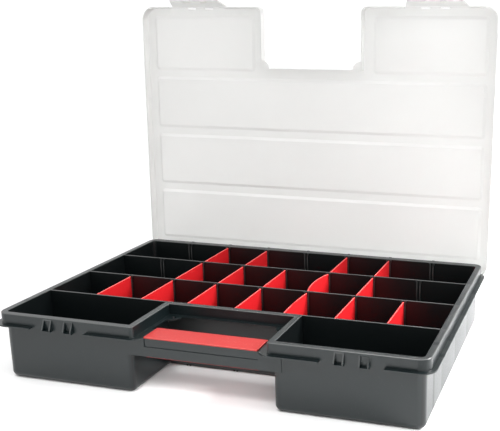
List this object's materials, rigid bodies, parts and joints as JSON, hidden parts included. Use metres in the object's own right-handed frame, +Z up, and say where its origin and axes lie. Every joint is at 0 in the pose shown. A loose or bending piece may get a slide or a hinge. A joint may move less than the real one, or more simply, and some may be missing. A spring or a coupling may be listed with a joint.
{
  "type": "compartment organizer",
  "caption": "Portable flat case with a clear hinged lid, snap latches, loose slotted dividers and a carrying grip in a front notch.",
  "frame": {"origin": "middle of the case's underside, on the surface it stands on", "axes": "+X to the right along the width, +Y from the handle at the front to the hinges at the rear, +Z up"},
  "size_m": [0.4602, 0.3505, 0.3844],
  "materials": {
    "tray": "satin charcoal polypropylene",
    "lid": "translucent natural polypropylene with a fine grain",
    "grip": "satin red plastic",
    "divider": "semi-gloss red polypropylene"
  },
  "bodies": {
    "tray": {"tray": "tray", "handle_grip": "grip"},
    "lid": {"lid": "lid"},
    "latch_left": {"latch_left": "lid"},
    "latch_right": {"latch_right": "lid"},
    "divider_front_1": {"divider_front_1": "divider"},
    "divider_front_2": {"divider_front_2": "divider"},
    "divider_front_3": {"divider_front_3": "divider"},
    "divider_front_4": {"divider_front_4": "divider"},
    "divider_front_5": {"divider_front_5": "divider"},
    "divider_front_6": {"divider_front_6": "divider"},
    "divider_front_7": {"divider_front_7": "divider"},
    "divider_middle_2": {"divider_middle_2": "divider"},
    "divider_middle_3": {"divider_middle_3": "divider"},
    "divider_middle_4": {"divider_middle_4": "divider"},
    "divider_middle_5": {"divider_middle_5": "divider"},
    "divider_middle_6": {"divider_middle_6": "divider"},
    "divider_rear_2": {"divider_rear_2": "divider"},
    "divider_rear_3": {"divider_rear_3": "divider"},
    "divider_rear_5": {"divider_rear_5": "divider"},
    "divider_rear_6": {"divider_rear_6": "divider"}
  },
  "joints": [
    {"name": "lid_hinge", "type": "hinge", "parent": "tray", "child": "lid", "pos_m": [0, 0.1585, 0.0558], "axis": [-1, 0, 0], "range_deg": [-92, 0]},
    {"name": "latch_left_hinge", "type": "hinge", "parent": "lid", "child": "latch_left", "pos_m": [-0.155, 0.18766, 0.37663], "axis": [-1, 0, 0], "range_deg": [-22, 68], "stiffness_Nm_per_rad": 0.01},
    {"name": "latch_right_hinge", "type": "hinge", "parent": "lid", "child": "latch_right", "pos_m": [0.155, 0.18766, 0.37663], "axis": [-1, 0, 0], "range_deg": [-22, 68], "stiffness_Nm_per_rad": 0.01},
    {"name": "divider_front_1_slide", "type": "slide", "parent": "tray", "child": "divider_front_1", "axis": [0, 0, 1], "range_m": [0, 0.066]},
    {"name": "divider_front_2_slide", "type": "slide", "parent": "tray", "child": "divider_front_2", "axis": [0, 0, 1], "range_m": [0, 0.066]},
    {"name": "divider_front_3_slide", "type": "slide", "parent": "tray", "child": "divider_front_3", "axis": [0, 0, 1], "range_m": [0, 0.066]},
    {"name": "divider_front_4_slide", "type": "slide", "parent": "tray", "child": "divider_front_4", "axis": [0, 0, 1], "range_m": [0, 0.066]},
    {"name": "divider_front_5_slide", "type": "slide", "parent": "tray", "child": "divider_front_5", "axis": [0, 0, 1], "range_m": [0, 0.066]},
    {"name": "divider_front_6_slide", "type": "slide", "parent": "tray", "child": "divider_front_6", "axis": [0, 0, 1], "range_m": [0, 0.066]},
    {"name": "divider_front_7_slide", "type": "slide", "parent": "tray", "child": "divider_front_7", "axis": [0, 0, 1], "range_m": [0, 0.066]},
    {"name": "divider_middle_2_slide", "type": "slide", "parent": "tray", "child": "divider_middle_2", "axis": [0, 0, 1], "range_m": [0, 0.066]},
    {"name": "divider_middle_3_slide", "type": "slide", "parent": "tray", "child": "divider_middle_3", "axis": [0, 0, 1], "range_m": [0, 0.066]},
    {"name": "divider_middle_4_slide", "type": "slide", "parent": "tray", "child": "divider_middle_4", "axis": [0, 0, 1], "range_m": [0, 0.066]},
    {"name": "divider_middle_5_slide", "type": "slide", "parent": "tray", "child": "divider_middle_5", "axis": [0, 0, 1], "range_m": [0, 0.066]},
    {"name": "divider_middle_6_slide", "type": "slide", "parent": "tray", "child": "divider_middle_6", "axis": [0, 0, 1], "range_m": [0, 0.066]},
    {"name": "divider_rear_2_slide", "type": "slide", "parent": "tray", "child": "divider_rear_2", "axis": [0, 0, 1], "range_m": [0, 0.066]},
    {"name": "divider_rear_3_slide", "type": "slide", "parent": "tray", "child": "divider_rear_3", "axis": [0, 0, 1], "range_m": [0, 0.066]},
    {"name": "divider_rear_5_slide", "type": "slide", "parent": "tray", "child": "divider_rear_5", "axis": [0, 0, 1], "range_m": [0, 0.066]},
    {"name": "divider_rear_6_slide", "type": "slide", "parent": "tray", "child": "divider_rear_6", "axis": [0, 0, 1], "range_m": [0, 0.066]}
  ]
}
